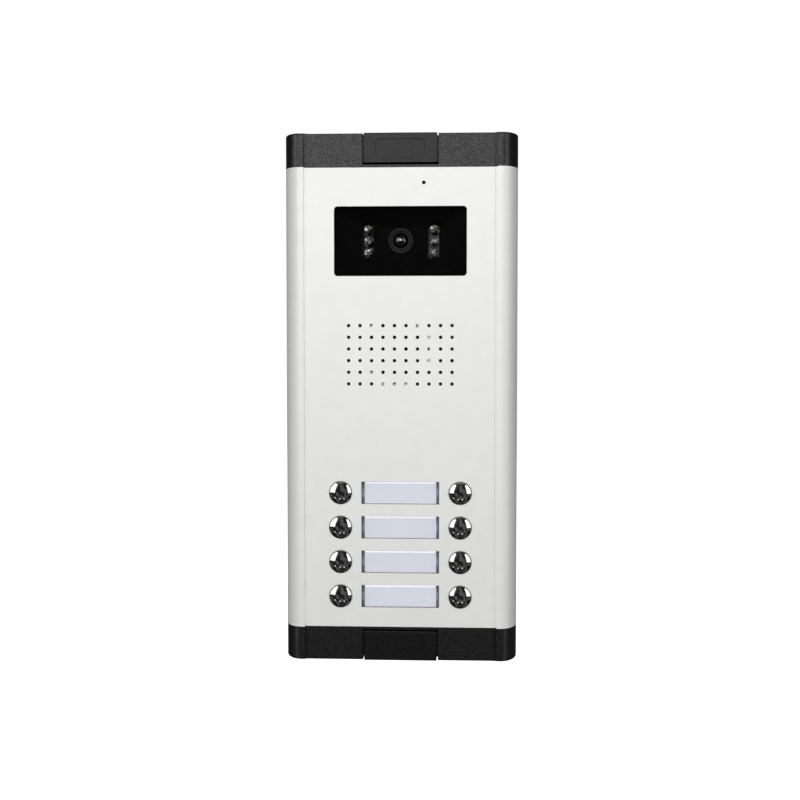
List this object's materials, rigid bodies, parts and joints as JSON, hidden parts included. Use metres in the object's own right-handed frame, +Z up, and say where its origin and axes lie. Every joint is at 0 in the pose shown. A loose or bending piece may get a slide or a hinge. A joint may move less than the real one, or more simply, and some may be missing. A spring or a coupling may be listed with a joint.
{
  "type": "door intercom panel",
  "caption": "Tall surface-mounted door call station with smoked camera window, speaker holes, chromed call buttons, name windows and black end caps.",
  "frame": {"origin": "middle of the wall bracket's back face, on the wall plane", "axes": "+Z up the panel, -Y out of the wall towards the visitor, +X to the visitor's right"},
  "size_m": [0.1334, 0.0505, 0.3],
  "materials": {
    "plate_aluminium": "fine satin anodised",
    "rail_aluminium": "fine satin anodised",
    "cap_plastic": "fine spark texture",
    "cover_plastic": "fine spark texture",
    "smoked_acrylic": "polished",
    "foam": "closed-cell foam",
    "shroud_plastic": "matt",
    "board_green": "solder mask",
    "lens_black": "satin",
    "lens_glass": "coated",
    "sensor_dark": "glossy",
    "led_clear": "clear epoxy",
    "rubber_black": "matt",
    "capsule_metal": "satin",
    "basket_steel": "zinc plated",
    "cone_paper": "paper",
    "magnet_ferrite": "ferrite",
    "chrome": "mirror polish",
    "switch_black": "moulded",
    "clear_acrylic": "polished",
    "card_paper": "paper",
    "opal_acrylic": "opal",
    "lamp_white": "phosphor",
    "chassis_plastic": "moulded",
    "relay_blue": "moulded",
    "capacitor_sleeve": "shrink sleeve",
    "chip_black": "moulded",
    "terminal_green": "moulded",
    "header_cream": "moulded",
    "cover_steel": "powder coat",
    "bracket_steel": "zinc plated",
    "screw_steel": "zinc plated"
  },
  "bodies": {
    "housing": {"front_plate": "plate_aluminium", "right_rail": "rail_aluminium", "left_rail": "rail_aluminium", "top_cap": "cap_plastic", "bottom_cap": "cap_plastic", "camera_window": "smoked_acrylic", "window_gasket": "foam", "camera_shroud": "shroud_plastic", "camera_board": "board_green", "lens_holder": "lens_black", "lens_barrel": "lens_black", "lens_glass": "lens_glass", "image_sensor": "sensor_dark", "infrared_leds": "led_clear", "microphone": "capsule_metal", "microphone_boot": "rubber_black", "speaker_gasket": "foam", "speaker_basket": "basket_steel", "speaker_cone": "cone_paper", "speaker_magnet": "magnet_ferrite", "button_bezels": "chrome", "switch_bodies": "switch_black", "name_windows": "clear_acrylic", "name_cards": "card_paper", "light_guides": "opal_acrylic", "backlight_leds": "lamp_white", "key_board": "board_green", "chassis": "chassis_plastic", "main_board": "board_green", "power_relay": "relay_blue", "capacitors": "capacitor_sleeve", "board_chips": "chip_black", "terminal_block": "terminal_green", "terminal_screws": "screw_steel", "board_headers": "header_cream", "rear_cover": "cover_steel", "rear_gasket": "foam", "cable_grommet": "rubber_black", "wall_bracket": "bracket_steel", "bracket_nuts": "bracket_steel", "lock_screws": "screw_steel", "cap_screws": "screw_steel", "rear_cover_screws": "screw_steel", "chassis_screws": "screw_steel", "shroud_screws": "screw_steel", "board_screws": "screw_steel"},
    "button_1": {"button_1": "chrome"},
    "button_2": {"button_2": "chrome"},
    "button_3": {"button_3": "chrome"},
    "button_4": {"button_4": "chrome"},
    "button_5": {"button_5": "chrome"},
    "button_6": {"button_6": "chrome"},
    "button_7": {"button_7": "chrome"},
    "button_8": {"button_8": "chrome"},
    "top_screw_cover": {"top_screw_cover": "cover_plastic"},
    "bottom_screw_cover": {"bottom_screw_cover": "cover_plastic"}
  },
  "joints": [
    {"name": "button_1_press", "type": "slide", "parent": "housing", "child": "button_1", "axis": [0, 1, 0], "range_m": [0, 0.001], "stiffness_N_per_m": 1500},
    {"name": "button_2_press", "type": "slide", "parent": "housing", "child": "button_2", "axis": [0, 1, 0], "range_m": [0, 0.001], "stiffness_N_per_m": 1500},
    {"name": "button_3_press", "type": "slide", "parent": "housing", "child": "button_3", "axis": [0, 1, 0], "range_m": [0, 0.001], "stiffness_N_per_m": 1500},
    {"name": "button_4_press", "type": "slide", "parent": "housing", "child": "button_4", "axis": [0, 1, 0], "range_m": [0, 0.001], "stiffness_N_per_m": 1500},
    {"name": "button_5_press", "type": "slide", "parent": "housing", "child": "button_5", "axis": [0, 1, 0], "range_m": [0, 0.001], "stiffness_N_per_m": 1500},
    {"name": "button_6_press", "type": "slide", "parent": "housing", "child": "button_6", "axis": [0, 1, 0], "range_m": [0, 0.001], "stiffness_N_per_m": 1500},
    {"name": "button_7_press", "type": "slide", "parent": "housing", "child": "button_7", "axis": [0, 1, 0], "range_m": [0, 0.001], "stiffness_N_per_m": 1500},
    {"name": "button_8_press", "type": "slide", "parent": "housing", "child": "button_8", "axis": [0, 1, 0], "range_m": [0, 0.001], "stiffness_N_per_m": 1500},
    {"name": "top_screw_cover_slide", "type": "slide", "parent": "housing", "child": "top_screw_cover", "axis": [0, 0, 1], "range_m": [0, 0.014]},
    {"name": "bottom_screw_cover_slide", "type": "slide", "parent": "housing", "child": "bottom_screw_cover", "axis": [0, 0, -1], "range_m": [0, 0.014]}
  ]
}
